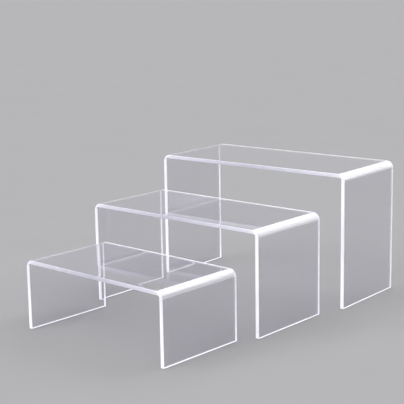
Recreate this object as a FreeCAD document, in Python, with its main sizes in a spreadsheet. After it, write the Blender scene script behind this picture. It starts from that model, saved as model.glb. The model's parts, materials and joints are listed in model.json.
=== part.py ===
# Set of three clear acrylic display risers in graded sizes, standing one in front of another.
#
# Each riser is one flat sheet, heated along two lines and bent down into an upside-down U: a top panel
# and two legs, open at the front and at the back. The outside of a bend stretches into a wide curve, and
# the inside stays tight. The pieces are loose. The smaller ones slide back under the larger ones to nest
# for storage.
#
# Frame: +Z up, +Y from the small riser back to the large one, +X to the right across the risers. The
# origin is on the table, at the centre of the set's footprint as displayed. The large riser is square to
# the frame, and the other two are turned a little, as they stand when put down by hand.

import FreeCAD, Part
import math
import os

import Sketcher

SIZES = ("large", "medium", "small")

# Driving dimensions, in millimetres and degrees. A shift is from the large riser's centre.
DIMENSIONS = {
    "sheet_thickness": 5.0,
    "bend_outer_radius": 10.0,
    "bend_inner_radius": 1.5,
    "edge_polish_radius": 0.5,
    "riser_depth": 128.0,
    "large_width": 304.0,
    "large_height": 180.0,
    "large_shift_right": 0.0,
    "large_shift_back": 0.0,
    "large_turn": 0.0,
    "medium_width": 280.0,
    "medium_height": 135.0,
    "medium_shift_right": -4.0,
    "medium_shift_back": -159.0,
    "medium_turn": -2.5,
    "small_width": 236.0,
    "small_height": 90.0,
    "small_shift_right": -6.0,
    "small_shift_back": -306.0,
    "small_turn": -3.8,
}

UP = FreeCAD.Vector(0, 0, 1)

# Sketcher's numbers for its horizontal axis, its origin point, and the ends of an edge.
HORIZONTAL_AXIS = -1
ORIGIN = (-1, 1)
START = 1
END = 2


def add_dimension_sheet(doc):
    """Put the driving dimensions in a spreadsheet, each value in a cell with its own alias."""
    sheet = doc.addObject("Spreadsheet::Sheet", "dimensions")
    for row, (alias, value) in enumerate(DIMENSIONS.items(), start=1):
        sheet.set(f"A{row}", alias.replace("_", " "))
        sheet.set(f"B{row}", str(value))
        sheet.setAlias(f"B{row}", alias)
    doc.recompute()
    return sheet


def origin_plane(body, role):
    """Return one of the body's own origin planes, such as XZ_Plane."""
    return next(feature for feature in body.Origin.OriginFeatures if feature.Role == role)


def line(x1, z1, x2, z2):
    """A straight edge in the sketch plane, where x runs across the riser and z runs up it."""
    return Part.LineSegment(FreeCAD.Vector(x1, z1, 0), FreeCAD.Vector(x2, z2, 0))


def bend_arc(x, z, radius, first_degrees):
    """A quarter circle in the sketch plane, centred on a bend."""
    circle = Part.Circle(FreeCAD.Vector(x, z, 0), UP, radius)
    return Part.ArcOfCircle(circle, math.radians(first_degrees), math.radians(first_degrees + 90))


def arch_outline(half_width, height, radius):
    """Left leg, left bend, top, right bend and right leg, from one foot over to the other."""
    bend_x = half_width - radius
    bend_z = height - radius
    return [
        line(-half_width, 0, -half_width, bend_z),
        bend_arc(-bend_x, bend_z, radius, 90),
        line(-bend_x, height, bend_x, height),
        bend_arc(bend_x, bend_z, radius, 0),
        line(half_width, bend_z, half_width, 0),
    ]


def draw_arch(sketch, sheet, size):
    """Draw the bent sheet from the front, constrained so that only its driving dimensions are free."""
    width = sheet.get(f"{size}_width")
    height = sheet.get(f"{size}_height")
    thickness = sheet.get("sheet_thickness")
    outer_radius = sheet.get("bend_outer_radius")
    inner_radius = sheet.get("bend_inner_radius")

    outer = sketch.addGeometry(arch_outline(width / 2, height, outer_radius), False)
    inner = sketch.addGeometry(
        arch_outline(width / 2 - thickness, height - thickness, inner_radius), False)
    left_foot = sketch.addGeometry(line(-width / 2, 0, thickness - width / 2, 0), False)
    right_foot = sketch.addGeometry(line(width / 2, 0, width / 2 - thickness, 0), False)

    def constrain(*arguments):
        return sketch.addConstraint(Sketcher.Constraint(*arguments))

    for left_leg, left_bend, top, right_bend, right_leg in (outer, inner):
        constrain("Tangent", left_leg, END, left_bend, END)
        constrain("Tangent", left_bend, START, top, START)
        constrain("Tangent", top, END, right_bend, END)
        constrain("Tangent", right_bend, START, right_leg, START)
        constrain("Vertical", left_leg)
        constrain("Horizontal", top)
        constrain("Vertical", right_leg)
        constrain("Equal", left_bend, right_bend)

    left_legs = (outer[0], inner[0])
    right_legs = (outer[-1], inner[-1])
    for foot, legs, leg_end in ((left_foot, left_legs, START), (right_foot, right_legs, END)):
        constrain("Coincident", foot, START, legs[0], leg_end)
        constrain("Coincident", foot, END, legs[1], leg_end)
        constrain("Horizontal", foot)
    constrain("Equal", left_foot, right_foot)
    constrain("PointOnObject", left_foot, START, HORIZONTAL_AXIS)
    constrain("Symmetric", left_foot, START, right_foot, START, *ORIGIN)

    driving = {
        "width": (("DistanceX", left_foot, START, right_foot, START, width), f"{size}_width"),
        "height": (("DistanceY", outer[0], START, outer[2], START, height), f"{size}_height"),
        "leg_thickness": (("DistanceX", left_foot, START, left_foot, END, thickness), "sheet_thickness"),
        "top_thickness": (("DistanceY", inner[2], START, outer[2], START, thickness), "sheet_thickness"),
        "outer_bend": (("Radius", outer[1], outer_radius), "bend_outer_radius"),
        "inner_bend": (("Radius", inner[1], inner_radius), "bend_inner_radius"),
    }
    for name, (arguments, alias) in driving.items():
        sketch.renameConstraint(constrain(*arguments), name)
        sketch.setExpression(f"Constraints.{name}", f"dimensions.{alias}")


def sharp_edges(shape):
    """Name every edge where two faces meet at a corner, leaving out the tangent lines at a bend."""
    nearly_parallel = 0.999
    names = []
    for number, edge in enumerate(shape.Edges, start=1):
        middle = edge.valueAt((edge.FirstParameter + edge.LastParameter) / 2)
        faces = shape.ancestorsOfType(edge, Part.Face)
        first, second = (face.normalAt(*face.Surface.parameter(middle)) for face in faces)
        if first.dot(second) < nearly_parallel:
            names.append(f"Edge{number}")
    return names


def build_riser(doc, sheet, size):
    """Make one riser: the arch padded to the sheet's depth, with its cut edges polished round."""
    body = doc.addObject("PartDesign::Body", f"riser_{size}")
    body.Label = f"riser_{size}"

    sketch = body.newObject("Sketcher::SketchObject", f"{size}_arch")
    sketch.AttachmentSupport = [(origin_plane(body, "XZ_Plane"), "")]
    sketch.MapMode = "FlatFace"
    draw_arch(sketch, sheet, size)
    doc.recompute()
    if not sketch.FullyConstrained:
        raise RuntimeError(f"{sketch.Label} isn't fully constrained")

    bent_sheet = body.newObject("PartDesign::Pad", f"{size}_bent_sheet")
    bent_sheet.Profile = sketch
    bent_sheet.SideType = "Symmetric"
    bent_sheet.setExpression("Length", "dimensions.riser_depth")
    doc.recompute()

    polish = body.newObject("PartDesign::Fillet", f"{size}_polished_edges")
    polish.Base = (bent_sheet, sharp_edges(bent_sheet.Shape))
    polish.setExpression("Radius", "dimensions.edge_polish_radius")
    doc.recompute()
    return body


def exact_box(shape):
    """The shape's box from its true surfaces, without the slack of a quick one."""
    return shape.optimalBoundingBox(False)


def place_on_table(bodies, sheet):
    """Stand the risers as displayed, with the origin under the middle of the whole set."""
    footprint = FreeCAD.BoundBox()
    for size, body in bodies.items():
        spot = FreeCAD.Vector(sheet.get(f"{size}_shift_right"), sheet.get(f"{size}_shift_back"), 0)
        body.Placement = FreeCAD.Placement(spot, FreeCAD.Rotation(UP, sheet.get(f"{size}_turn")))
        footprint.add(exact_box(body.Shape))
    middle = FreeCAD.Vector(footprint.Center.x, footprint.Center.y, footprint.ZMin)
    for body in bodies.values():
        body.Placement = FreeCAD.Placement(body.Placement.Base - middle, body.Placement.Rotation)


def check(doc, bodies):
    """Stop if any object failed to build or any riser isn't one valid closed solid."""
    for item in doc.Objects:
        if "Invalid" in item.State or "Error" in item.State:
            raise RuntimeError(f"{item.Label} failed: {item.State}")
    for body in bodies.values():
        shape = body.Shape
        if shape.isNull() or not shape.isValid() or len(shape.Solids) != 1:
            raise RuntimeError(f"{body.Label} isn't one valid solid")


def main():
    doc = FreeCAD.newDocument("display_risers")
    sheet = add_dimension_sheet(doc)
    bodies = {size: build_riser(doc, sheet, size) for size in SIZES}
    place_on_table(bodies, sheet)
    doc.recompute()
    check(doc, bodies)

    os.makedirs("parts", exist_ok=True)
    for body in bodies.values():
        body.Shape.exportStep(f"parts/{body.Label}.step")
        box = exact_box(body.Shape)
        print(f"{body.Label}: x {box.XMin:.2f} to {box.XMax:.2f}, y {box.YMin:.2f} to {box.YMax:.2f},",
              f"z {box.ZMin:.2f} to {box.ZMax:.2f}, {body.Shape.Volume:.0f} mm3,",
              f"centre at ({body.Placement.Base.x:.3f}, {body.Placement.Base.y:.3f})")


main()
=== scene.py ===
import json
import math

import bmesh
import bpy
import numpy as np
from mathutils import Matrix, Vector


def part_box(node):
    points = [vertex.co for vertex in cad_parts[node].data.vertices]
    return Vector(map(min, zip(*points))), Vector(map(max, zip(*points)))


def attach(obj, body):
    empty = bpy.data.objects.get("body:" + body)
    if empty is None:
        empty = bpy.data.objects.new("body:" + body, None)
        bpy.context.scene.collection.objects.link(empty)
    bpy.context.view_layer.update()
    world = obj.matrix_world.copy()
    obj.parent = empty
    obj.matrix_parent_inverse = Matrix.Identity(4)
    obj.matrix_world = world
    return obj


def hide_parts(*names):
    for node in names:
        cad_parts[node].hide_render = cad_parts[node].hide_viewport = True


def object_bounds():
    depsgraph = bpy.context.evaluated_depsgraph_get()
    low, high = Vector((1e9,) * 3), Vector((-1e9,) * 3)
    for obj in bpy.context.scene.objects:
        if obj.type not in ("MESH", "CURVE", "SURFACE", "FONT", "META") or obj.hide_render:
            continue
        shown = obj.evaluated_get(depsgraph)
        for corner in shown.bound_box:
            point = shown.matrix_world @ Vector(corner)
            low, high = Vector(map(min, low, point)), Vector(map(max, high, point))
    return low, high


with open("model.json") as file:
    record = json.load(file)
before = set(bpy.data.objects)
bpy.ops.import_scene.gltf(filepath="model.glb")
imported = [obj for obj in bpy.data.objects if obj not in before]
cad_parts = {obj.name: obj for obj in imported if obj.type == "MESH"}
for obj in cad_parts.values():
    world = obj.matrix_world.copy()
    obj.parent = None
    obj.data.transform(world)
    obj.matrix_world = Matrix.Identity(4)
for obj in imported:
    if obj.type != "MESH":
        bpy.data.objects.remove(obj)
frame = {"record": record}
cad_low, cad_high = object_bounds()

SIZES = ("small", "medium", "large")

# The sheet as the CAD bends it. All lengths are in metres.
SHEET = 0.005
BEND_OUTER_RADIUS = 0.010
BEND_INNER_RADIUS = 0.0015

# What polishing and bending leave on a sheet: rounded arrises, and at each end of a bend the squeezed
# inner side stands proud while the stretched outer side is drawn in.
ARRIS_RADIUS = 0.0007
INNER_BULGE = 0.00045
OUTER_PULL_IN = 0.00030

# How finely the sheet is divided.
BEND_STEPS = 24
ARRIS_STEPS = 4
STRAIGHT_STEP = 0.008

# The reach says how far round the arch a point is, from 0 at a foot to 1 in mid-top, for the painted light
# and shade of the cut edge. It is LEG_REACH where the leg ends and the bend starts, and BEND_REACH where
# the bend ends.
LEG_REACH = 0.5
BEND_REACH = 0.7


# ---------------------------------------------------------------- where each riser stands

def mount_point(name):
    """A mount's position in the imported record."""
    return next(Vector(mount["pos_m"]) for mount in frame["record"]["mounts"] if mount["name"] == name)


def riser_place(size):
    """A riser's width, height and depth, and the matrix from its own axes to the set's frame.

    All the risers are as deep as the large one, which stands square to the frame.
    """
    top = mount_point(f"{size}_top")
    feet_apart = mount_point(f"{size}_right_foot") - mount_point(f"{size}_left_foot")
    low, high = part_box("riser_large")
    turn = Matrix.Rotation(math.atan2(feet_apart.y, feet_apart.x), 4, "Z")
    return feet_apart.length + SHEET, top.z, high.y - low.y, Matrix.Translation((top.x, top.y, 0)) @ turn


# ---------------------------------------------------------------- the bent sheet's mesh

def shares(length):
    """Even shares of a straight run, from 0 to 1, about STRAIGHT_STEP apart."""
    return np.linspace(0, 1, max(2, round(length / STRAIGHT_STEP)) + 1)


def quarter_turn(step_count):
    return np.linspace(0, math.pi / 2, step_count + 1)


def arch_stations(width, height):
    """The lines across the sheet, from the left foot over the top to the right foot.

    Each is (its inner point, its outer point, the length of sheet so far, how bent the sheet is there, and
    the reach). A point is (x, z). The bend is 0 on the straight runs and 1 in the middle of a bend.
    """
    leg = shares(height)[:-1]
    bend = quarter_turn(BEND_STEPS)
    top = shares(width / 2)[1:]

    def left_half(width, height, radius):
        bend_x = width / 2 - radius
        bend_z = height - radius
        x = np.concatenate((0 * leg - width / 2, -bend_x - radius * np.cos(bend), bend_x * (top - 1)))
        z = np.concatenate((bend_z * leg, bend_z + radius * np.sin(bend), 0 * top + height))
        return np.column_stack((x, z))

    outer = left_half(width, height, BEND_OUTER_RADIUS)
    inner = left_half(width - 2 * SHEET, height - SHEET, BEND_INNER_RADIUS)
    strides = np.linalg.norm(np.diff((outer + inner) / 2, axis=0), axis=1)
    along = np.concatenate(([0], np.cumsum(strides)))
    bent = np.concatenate((0 * leg, np.sin(2 * bend), 0 * top))
    reach = np.concatenate((LEG_REACH * leg,
                            LEG_REACH + (BEND_REACH - LEG_REACH) * bend / bend[-1],
                            BEND_REACH + (1 - BEND_REACH) * top))

    def whole(left, right):
        return np.concatenate((left, right[-2::-1]))

    flip = (-1, 1)
    return list(zip(whole(inner, inner * flip), whole(outer, outer * flip),
                    whole(along, 2 * along[-1] - along), whole(bent, bent), whole(reach, reach)))


def sheet_section(depth):
    """The outline of the sheet cut across, as (offset from its middle, y, is it on a cut edge)."""
    core_offset = SHEET / 2 - ARRIS_RADIUS
    core_y = depth / 2 - ARRIS_RADIUS
    half = [(SHEET / 2, core_y * (2 * share - 1), False) for share in shares(2 * core_y)]
    for angle in quarter_turn(ARRIS_STEPS)[1:]:
        offset = core_offset + ARRIS_RADIUS * math.cos(angle)
        half.append((offset, core_y + ARRIS_RADIUS * math.sin(angle), True))
    for angle in quarter_turn(ARRIS_STEPS)[:-1]:
        offset = -core_offset - ARRIS_RADIUS * math.sin(angle)
        half.append((offset, core_y + ARRIS_RADIUS * math.cos(angle), True))
    return half + [(-offset, -y, cut) for offset, y, cut in half]


def sweep_sheet(stations, section, depth):
    """Sweep the section along the arch. Returns points, their place on the flat sheet, bend and reach."""
    points, flat, bends, reaches = [], [], [], []

    def add_ring(station, rise, inset):
        """One section, raised off the floor and drawn in all round, as a foot's arris is."""
        inner, outer, along, bent, reach = station
        for offset, y, cut in section:
            if cut:
                squeeze = INNER_BULGE if offset < 0 else OUTER_PULL_IN
                y += math.copysign(squeeze * bent, y) * -offset / (SHEET / 2)
            offset *= 1 - inset / (SHEET / 2)
            y *= 1 - inset / (depth / 2)
            x, z = inner + (outer - inner) * (offset / SHEET + 0.5)
            points.append((x, y, z + rise))
            flat.append((along, y, offset))
            bends.append(bent)
            reaches.append(reach)

    foot = [(ARRIS_RADIUS * (1 - math.cos(angle)), ARRIS_RADIUS * (1 - math.sin(angle)))
            for angle in quarter_turn(ARRIS_STEPS)]
    for rise, inset in foot:
        add_ring(stations[0], rise, inset)
    for station in stations[1:-1]:
        add_ring(station, 0, 0)
    for rise, inset in reversed(foot):
        add_ring(stations[-1], rise, inset)
    return points, flat, bends, reaches


def sheet_faces(section, rings):
    """The faces between neighbouring rings and under the two feet, and whether each is on a cut edge."""
    around = len(section)
    faces, cut_faces = [], []
    for ring in range(rings - 1):
        here = ring * around
        there = here + around
        on_foot = ring < ARRIS_STEPS or ring >= rings - 1 - ARRIS_STEPS
        for i in range(around):
            j = (i + 1) % around
            faces.append((here + i, here + j, there + j, there + i))
            cut_faces.append(on_foot or section[i][2] or section[j][2])
    for first in (0, (rings - 1) * around):
        faces.append(tuple(range(first, first + around)))
        cut_faces.append(True)
    return faces, cut_faces


def make_riser(size, number, broad_face, cut_edge):
    """One riser as a closed bent sheet, with a material on its broad faces and one on its cut edges."""
    width, height, depth, place = riser_place(size)
    section = sheet_section(depth)
    points, flat, bends, reaches = sweep_sheet(arch_stations(width, height), section, depth)
    faces, cut_faces = sheet_faces(section, len(points) // len(section))

    mesh = bpy.data.meshes.new(f"riser_{size}_sheet")
    mesh.from_pydata(points, [], faces)
    mesh.materials.append(broad_face)
    mesh.materials.append(cut_edge)
    mesh.polygons.foreach_set("material_index", np.array(cut_faces, np.int32))
    mesh.polygons.foreach_set("use_smooth", np.ones(len(faces), bool))
    # The place on the flat sheet drives the textures. Each riser is cut from its own stretch of sheet.
    flat = np.array(flat, np.float32) + np.array((number, 0, 0), np.float32)
    mesh.attributes.new("flat_sheet", "FLOAT_VECTOR", "POINT").data.foreach_set("vector", flat.ravel())
    mesh.attributes.new("bend", "FLOAT", "POINT").data.foreach_set("value", np.array(bends, np.float32))
    mesh.attributes.new("reach", "FLOAT", "POINT").data.foreach_set("value", np.array(reaches, np.float32))
    mesh.transform(place)

    shell = bmesh.new()
    shell.from_mesh(mesh)
    bmesh.ops.recalc_face_normals(shell, faces=shell.faces)
    shell.to_mesh(mesh)
    shell.free()

    riser = bpy.data.objects.new(f"riser_{size}_sheet", mesh)
    bpy.context.scene.collection.objects.link(riser)
    # The broad faces outweigh the narrow arrises, so they shade flat up to their borders.
    even = riser.modifiers.new("even_shading", "WEIGHTED_NORMAL")
    even.weight = 100
    return riser


# ---------------------------------------------------------------- node helpers

def new_material(name):
    material = bpy.data.materials.new(name)
    material.use_nodes = True
    tree = material.node_tree
    tree.nodes.clear()
    return material, tree


def add_node(tree, kind, inputs=None, **settings):
    """Add a node, set its settings, and fill its inputs: a socket is linked, anything else is a value."""
    node = tree.nodes.new(kind)
    for name, value in settings.items():
        setattr(node, name, value)
    for name, value in (inputs or {}).items():
        if isinstance(value, bpy.types.NodeSocket):
            tree.links.new(value, node.inputs[name])
        else:
            node.inputs[name].default_value = value
    return node


def attribute(tree, name):
    return add_node(tree, "ShaderNodeAttribute", attribute_name=name).outputs["Fac"]


def noise(tree, fineness, detail=2.0, roughness=0.5):
    """Noise on the flat sheet. The fineness is in cycles a metre: along it, across it and through it."""
    place = add_node(tree, "ShaderNodeAttribute", attribute_name="flat_sheet")
    scaled = add_node(tree, "ShaderNodeVectorMath", {0: place.outputs["Vector"], 1: fineness},
                      operation="MULTIPLY")
    texture = add_node(tree, "ShaderNodeTexNoise",
                       {"Vector": scaled.outputs["Vector"], "Scale": 1.0, "Detail": detail,
                        "Roughness": roughness})
    return texture.outputs["Fac"]


def remap(tree, value, span, results):
    """Carry the value's span over to the span of results, and hold it there at both ends.

    A noise keeps to the middle of its range, so the narrower its span is, the harder its contrast.
    """
    node = add_node(tree, "ShaderNodeMapRange",
                    {"Value": value, "From Min": span[0], "From Max": span[1],
                     "To Min": results[0], "To Max": results[1]})
    return node.outputs["Result"]


def fade(tree, value, none_at, full_at):
    """A smooth share that is 0 at none_at and 1 at full_at, whichever of the two is larger."""
    node = add_node(tree, "ShaderNodeMapRange", {"Value": value, "From Min": none_at, "From Max": full_at},
                    interpolation_type="SMOOTHSTEP")
    return node.outputs["Result"]


def calculate(tree, operation, *numbers):
    return add_node(tree, "ShaderNodeMath", dict(enumerate(numbers)), operation=operation).outputs[0]


def mix_colours(tree, share, first, second):
    node = add_node(tree, "ShaderNodeMix", {"Factor": share, "A": first, "B": second}, data_type="RGBA")
    return node.outputs["Result"]


# ---------------------------------------------------------------- clear acrylic

ACRYLIC_IOR = 1.49

# The sheet's tints: two nearly alike ones that the smudges drift between, and a darker one painted as
# streaks of shade across a bend's painted highlight. SHADOW_TINT is what each of its surfaces leaves of a
# shadow ray.
TINT = (0.905, 0.895, 0.945, 1)
PALER_TINT = (0.93, 0.925, 0.96, 1)
STREAK_SHADE_TINT = (0.42, 0.41, 0.45, 1)
SHADOW_TINT = (0.65, 0.65, 0.66, 1)

# Cycles a metre along the sheet, across it and through it. A streak runs the length of a bend, which is
# across the sheet.
DRIFT_FINENESS = (14, 14, 14)
STREAK_FINENESS = (520, 2.5, 120)
SMUDGE_FINENESS = (45, 30, 45)

# The surface's waves: how deep and how strong they are, and how much a bend's streaks add to the drift.
WAVE_DEPTH = 0.00006
WAVE_STRENGTH = 0.5
STREAK_WAVES = 0.3

# The roughness of clean polish and of a smudge, and what the middle of a bend adds to it.
POLISH = 0.006
SMUDGED = 0.03
BEND_HAZE = 0.22

# The middle of a bend is painted milky white as its highlight, and the darker streak tint paints streaks of
# shade across it.
# How much of the darker tint and of the painted highlight shows in the middle of a bend, from the faintest
# streak to the strongest. The painted highlight sets in quickly: it has all its strength once the bend is
# past the last value below.
STREAK_SHADING = (0.25, 0.75)
STREAK_PAINTED_HIGHLIGHT = (0.3, 0.7)
FULL_HIGHLIGHT_BEND = 0.4


def make_acrylic():
    """Clear polished acrylic with the faintest smudges, and bends painted milky white as a streaky
    highlight.
    """
    material, tree = new_material("clear_acrylic")
    drift = noise(tree, DRIFT_FINENESS)
    streak = noise(tree, STREAK_FINENESS, detail=3)
    smudge = noise(tree, SMUDGE_FINENESS, detail=4, roughness=0.6)

    bend = attribute(tree, "bend")
    streaked = calculate(tree, "MULTIPLY", streak, bend)
    waves = calculate(tree, "MULTIPLY_ADD", streaked, STREAK_WAVES, drift)
    bump = add_node(tree, "ShaderNodeBump",
                    {"Height": waves, "Strength": WAVE_STRENGTH, "Distance": WAVE_DEPTH})

    sheet_tint = mix_colours(tree, smudge, TINT, PALER_TINT)
    # Darker streaks of painted shade across the middle of a bend.
    shading = calculate(tree, "MULTIPLY", bend, remap(tree, streak, (0.4, 0.6), STREAK_SHADING))
    tint = mix_colours(tree, shading, sheet_tint, STREAK_SHADE_TINT)
    polish = remap(tree, smudge, (0.35, 0.7), (POLISH, SMUDGED))
    roughness = calculate(tree, "MULTIPLY_ADD", bend, BEND_HAZE, polish)
    # A milky white painted in the middle of a bend: the bend's painted highlight, broken into streaks.
    painted_bend_highlight = calculate(tree, "MULTIPLY", remap(tree, bend, (0.0, FULL_HIGHLIGHT_BEND), (0.0, 1.0)),
                          remap(tree, streak, (0.35, 0.65), STREAK_PAINTED_HIGHLIGHT))
    clearness = calculate(tree, "SUBTRACT", 1.0, painted_bend_highlight)
    plastic = add_node(tree, "ShaderNodeBsdfPrincipled",
                       {"Base Color": tint, "Roughness": roughness, "IOR": ACRYLIC_IOR,
                        "Transmission Weight": clearness, "Normal": bump.outputs["Normal"]})

    # Shadow rays pass straight through, so the shadows are soft and pale.
    see_through = add_node(tree, "ShaderNodeBsdfTransparent", {"Color": SHADOW_TINT})
    path = add_node(tree, "ShaderNodeLightPath")
    shader = add_node(tree, "ShaderNodeMixShader",
                      {0: path.outputs["Is Shadow Ray"], 1: plastic.outputs["BSDF"],
                       2: see_through.outputs["BSDF"]})
    add_node(tree, "ShaderNodeOutputMaterial", {"Surface": shader.outputs["Shader"]})
    return material


# ---------------------------------------------------------------- the cut edge

# The edge's painted light and shade, from a foot round the arch to mid-top: painted palest at a foot and
# painted greyest in mid-top, for the light that the sheet carries to its edges. Where the bend ends there
# is a soft step, which takes
# TONE_STEP of the reach on either side.
FOOT_PAINTED_LIGHT = (0.95, 0.95, 0.97, 1)
LEG_END_PAINTED_LIGHT = (0.71, 0.71, 0.75, 1)
BEND_END_PAINTED_LIGHT = (0.68, 0.67, 0.73, 1)
TOP_START_PAINTED_SHADE = (0.52, 0.51, 0.59, 1)
MID_TOP_PAINTED_SHADE = (0.35, 0.34, 0.41, 1)
TONE_STEP = 0.03

# From inside the sheet, an edge is painted near-white all along, as painted light. Faint greyer clouds
# drift over it, inside and out.
INSIDE_PAINTED_LIGHT = (0.96, 0.96, 0.98, 1)
CLOUD_TONE = (0.5, 0.5, 0.58, 1)
CLOUD_SHARE = 0.12

# The edge's roughness where it is clear of clouds, and in the thick of one.
EDGE_POLISH = 0.12
EDGE_CLOUDED = 0.3

# The faint, even glow stands for the light that the sheet carries inside it to its edges.
GLOW_COLOUR = (0.80, 0.79, 0.85, 1)
GLOW_STRENGTH = 0.2

# Cycles a metre along the sheet, across it and through it. The saw's marks run through its thickness.
SAW_FINENESS = (1400, 1400, 60)
CLOUD_FINENESS = (60, 60, 60)
SAW_DEPTH = 0.00003
SAW_STRENGTH = 0.4


def make_cut_edge():
    """Flame-polished cut edge: milky under a glassy skin, with painted light and shade, palest at the feet,
    greyest in mid-top and near-white seen from inside the sheet.
    """
    material, tree = new_material("flame_polished_edge")
    saw = noise(tree, SAW_FINENESS, detail=3)
    cloud = noise(tree, CLOUD_FINENESS, detail=3)

    # Painted light and shade along the edge, by how far round the arch it is.
    painted_light_ramp = add_node(tree, "ShaderNodeValToRGB", {"Fac": attribute(tree, "reach")})
    stops = painted_light_ramp.color_ramp.elements
    stops[0].color = FOOT_PAINTED_LIGHT
    stops[1].color = MID_TOP_PAINTED_SHADE
    stops.new(LEG_REACH).color = LEG_END_PAINTED_LIGHT
    stops.new(BEND_REACH - TONE_STEP).color = BEND_END_PAINTED_LIGHT
    stops.new(BEND_REACH + TONE_STEP).color = TOP_START_PAINTED_SHADE
    # Seen from inside the sheet, the edge is painted with near-white light.
    from_inside = add_node(tree, "ShaderNodeNewGeometry").outputs["Backfacing"]
    clean = mix_colours(tree, from_inside, painted_light_ramp.outputs["Color"], INSIDE_PAINTED_LIGHT)
    clouding = remap(tree, cloud, (0.35, 0.65), (0.0, CLOUD_SHARE))

    bump = add_node(tree, "ShaderNodeBump",
                    {"Height": saw, "Strength": SAW_STRENGTH, "Distance": SAW_DEPTH})
    shader = add_node(tree, "ShaderNodeBsdfPrincipled",
                      {"Base Color": mix_colours(tree, clouding, clean, CLOUD_TONE),
                       "Roughness": remap(tree, cloud, (0.3, 0.7), (EDGE_POLISH, EDGE_CLOUDED)),
                       "IOR": ACRYLIC_IOR, "Coat Weight": 0.6, "Coat Roughness": 0.05,
                       "Emission Color": GLOW_COLOUR, "Emission Strength": GLOW_STRENGTH,
                       "Normal": bump.outputs["Normal"]})
    add_node(tree, "ShaderNodeOutputMaterial", {"Surface": shader.outputs["BSDF"]})
    return material


# ---------------------------------------------------------------- the studio

# How far the floor goes each way, and how far it lies under the feet, so that no two faces share a plane.
FLOOR_REACH = 30.0
FLOOR_DROP = 0.0002

# The floor's two nearly alike tones, and how fine its grain is, in cycles a metre.
FLOOR_TONE = (0.242, 0.242, 0.244, 1)
PALER_FLOOR_TONE = (0.252, 0.252, 0.254, 1)
FLOOR_GRAIN = 6.0

# The room's brightness at the horizon and overhead. The horizon is as bright as the lit floor, so that no
# line shows where they meet: if the floor, OVERHEAD or PANEL changes, HORIZON has to be set again.
ROOM_COLOUR = (0.985, 0.985, 1.0, 1)
HORIZON = 0.47
OVERHEAD = 0.85

# The room has two soft light panels, one in front of the set and one behind. Each pair says where a
# panel's light is gone and where it is full: the z of the unit direction at its bottom and top, and the x,
# either way, at its sides. The direction's x times y shades and slants the panels: the front one is
# brighter and reaches lower towards -x, and the rear one towards +x.
PANEL = 2.6
PANEL_BOTTOM = (0.30, 0.37)
PANEL_TOP = (0.92, 0.84)
PANEL_SIDE = (0.66, 0.58)
PANEL_SHADING = 1.35
PANEL_SLANT = 0.45


def make_floor():
    """A wide, plain, pale floor."""
    mesh = bpy.data.meshes.new("floor")
    signs = [(-1, -1), (1, -1), (1, 1), (-1, 1)]
    corners = [(x * FLOOR_REACH, y * FLOOR_REACH, -FLOOR_DROP) for x, y in signs]
    mesh.from_pydata(corners, [], [(0, 1, 2, 3)])
    floor = bpy.data.objects.new("floor", mesh)
    bpy.context.scene.collection.objects.link(floor)
    material, tree = new_material("studio_floor")
    place = add_node(tree, "ShaderNodeTexCoord")
    grain = add_node(tree, "ShaderNodeTexNoise",
                     {"Vector": place.outputs["Object"], "Scale": FLOOR_GRAIN, "Detail": 3.0})
    matte = add_node(tree, "ShaderNodeBsdfPrincipled",
                     {"Base Color": mix_colours(tree, grain.outputs["Fac"], FLOOR_TONE, PALER_FLOOR_TONE),
                      "Roughness": 0.9, "Specular IOR Level": 0.0})
    add_node(tree, "ShaderNodeOutputMaterial", {"Surface": matte.outputs["BSDF"]})
    mesh.materials.append(material)


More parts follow.
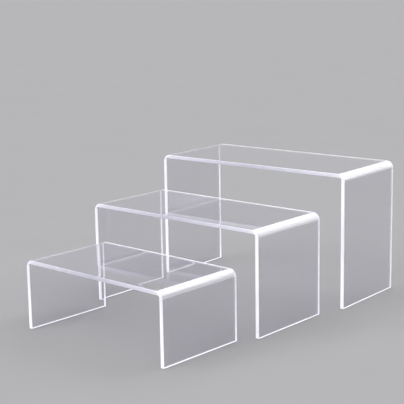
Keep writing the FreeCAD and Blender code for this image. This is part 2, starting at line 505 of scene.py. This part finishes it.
def make_world():
    """The room and its two light panels, by direction alone."""
    world = bpy.data.worlds.new("studio")
    bpy.context.scene.world = world
    world.use_nodes = True
    tree = world.node_tree
    tree.nodes.clear()
    direction = add_node(tree, "ShaderNodeTexCoord").outputs["Generated"]
    parts = add_node(tree, "ShaderNodeSeparateXYZ", {0: direction})
    height = parts.outputs["Z"]
    sideways = calculate(tree, "ABSOLUTE", parts.outputs["X"])
    aslant = calculate(tree, "MULTIPLY", parts.outputs["X"], parts.outputs["Y"])

    slanted_height = calculate(tree, "MULTIPLY_ADD", aslant, PANEL_SLANT, height)
    rows = calculate(tree, "MULTIPLY", fade(tree, slanted_height, *PANEL_BOTTOM),
                     fade(tree, height, *PANEL_TOP))
    panel = calculate(tree, "MULTIPLY", rows, fade(tree, sideways, *PANEL_SIDE))
    panel_strength = calculate(tree, "MULTIPLY_ADD", aslant, PANEL * PANEL_SHADING, PANEL)
    room = remap(tree, height, (0.0, 1.0), (HORIZON, OVERHEAD))
    strength = calculate(tree, "MULTIPLY_ADD", panel, panel_strength, room)
    sky = add_node(tree, "ShaderNodeBackground", {"Color": ROOM_COLOUR, "Strength": strength})
    add_node(tree, "ShaderNodeOutputWorld", {"Surface": sky.outputs["Background"]})


# ---------------------------------------------------------------- the camera

# The camera looks from the front right at a point beside and above the middle of the set. Angles are in
# degrees, the lens is in millimetres, and AIM_RIGHT and AIM_UP are metres along the picture.
CAMERA_AZIMUTH = 38.45
CAMERA_ELEVATION = 11.57
CAMERA_ROLL = 0.94
CAMERA_DISTANCE = 1.503
CAMERA_LENS = 101.5
AIM_RIGHT = -0.007
AIM_UP = 0.052


def towards(azimuth, elevation):
    """The unit vector from the set to something at that azimuth and elevation, in degrees."""
    a, e = math.radians(azimuth), math.radians(elevation)
    return Vector((math.sin(a) * math.cos(e), -math.cos(a) * math.cos(e), math.sin(e)))


def make_camera():
    data = bpy.data.cameras.new("camera")
    data.lens = CAMERA_LENS
    camera = bpy.data.objects.new("camera", data)
    bpy.context.scene.collection.objects.link(camera)
    back = towards(CAMERA_AZIMUTH, CAMERA_ELEVATION)
    turned = back.to_track_quat("Z", "Y").to_matrix().to_4x4()
    aim = (cad_low + cad_high) / 2 + turned.to_3x3() @ Vector((AIM_RIGHT, AIM_UP, 0))
    roll = Matrix.Rotation(math.radians(-CAMERA_ROLL), 4, "Z")
    camera.matrix_world = Matrix.Translation(aim + back * CAMERA_DISTANCE) @ turned @ roll
    bpy.context.scene.camera = camera


# ---------------------------------------------------------------- the set

# Enough for light to cross every sheet of the nested set, and to glance along inside one.
LIGHT_BOUNCES = 48

acrylic = make_acrylic()
cut_edge = make_cut_edge()
for number, size in enumerate(SIZES):
    riser = make_riser(size, number, acrylic, cut_edge)
    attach(riser, f"riser_{size}")
    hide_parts(f"riser_{size}")

make_floor()
make_world()
make_camera()

scene = bpy.context.scene
scene.view_settings.view_transform = "Standard"
scene.cycles.max_bounces = LIGHT_BOUNCES
scene.cycles.glossy_bounces = LIGHT_BOUNCES
scene.cycles.transmission_bounces = LIGHT_BOUNCES
scene.cycles.transparent_max_bounces = LIGHT_BOUNCES
